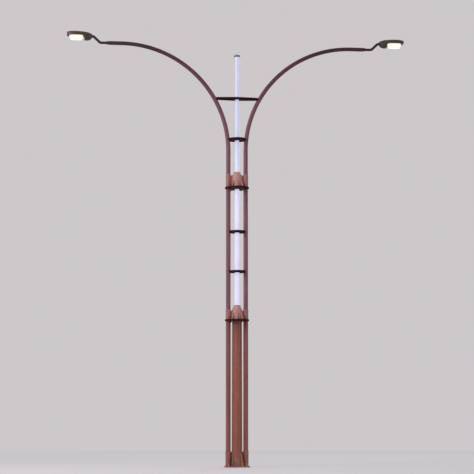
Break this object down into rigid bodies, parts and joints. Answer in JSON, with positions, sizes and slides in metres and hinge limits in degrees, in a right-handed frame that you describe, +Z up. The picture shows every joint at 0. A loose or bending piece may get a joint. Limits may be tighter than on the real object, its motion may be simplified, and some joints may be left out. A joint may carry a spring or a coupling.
{
  "type": "tapered light pole",
  "caption": "Tall road light pole with a tapered core, slender side tubes swept out as curved arms, bolted collars, a lit centre tube and drop-glass lanterns.",
  "frame": {"origin": "centre of the base plate's underside", "axes": "+Z up along the pole, +X along the right arm, +Y to the side with the hand hole"},
  "size_m": [9.954, 0.7, 12.5941],
  "materials": {
    "painted_steel": "satin bronze-brown paint",
    "side_tube_paint": "satin plum-brown paint",
    "stub_paint": "satin dusty brown paint",
    "collar_paint": "dark plum-brown paint",
    "cap_paint": "satin grey paint",
    "lantern_paint": "dark bronze powder coat",
    "lit_diffuser": "opal diffuser, lit from inside",
    "lit_glass": "frosted drop glass, lit from inside"
  },
  "bodies": {
    "root": {"base_plate": "painted_steel", "base_stiffeners": "painted_steel", "core_mast": "painted_steel", "hand_hole_cover": "painted_steel", "left_lower_post": "side_tube_paint", "right_lower_post": "side_tube_paint", "left_foot_socket": "painted_steel", "right_foot_socket": "painted_steel", "lower_collar_bottom_plate": "collar_paint", "lower_collar_top_plate": "collar_paint", "lower_stub": "stub_paint", "lower_stub_stiffeners": "stub_paint", "left_post_socket": "stub_paint", "right_post_socket": "stub_paint", "left_middle_post": "side_tube_paint", "right_middle_post": "side_tube_paint", "lower_light_tube": "lit_diffuser", "spacer_ring_1": "collar_paint", "spacer_ring_2": "collar_paint", "upper_collar_bottom_plate": "collar_paint", "upper_collar_top_plate": "collar_paint", "upper_stub": "stub_paint", "upper_stub_stiffeners": "stub_paint", "left_arm_socket": "stub_paint", "right_arm_socket": "stub_paint", "left_arm": "side_tube_paint", "right_arm": "side_tube_paint", "upper_light_tube": "lit_diffuser", "spacer_ring_3": "collar_paint", "spreader_plate": "collar_paint", "tip_cap": "cap_paint", "left_arm_sleeve": "side_tube_paint", "right_arm_sleeve": "side_tube_paint", "left_tenon": "side_tube_paint", "right_tenon": "side_tube_paint", "left_lantern_housing": "lantern_paint", "right_lantern_housing": "lantern_paint", "left_driver_door": "lantern_paint", "right_driver_door": "lantern_paint", "left_glass_frame": "lantern_paint", "right_glass_frame": "lantern_paint", "left_drop_glass": "lit_glass", "right_drop_glass": "lit_glass"}
  },
  "joints": []
}
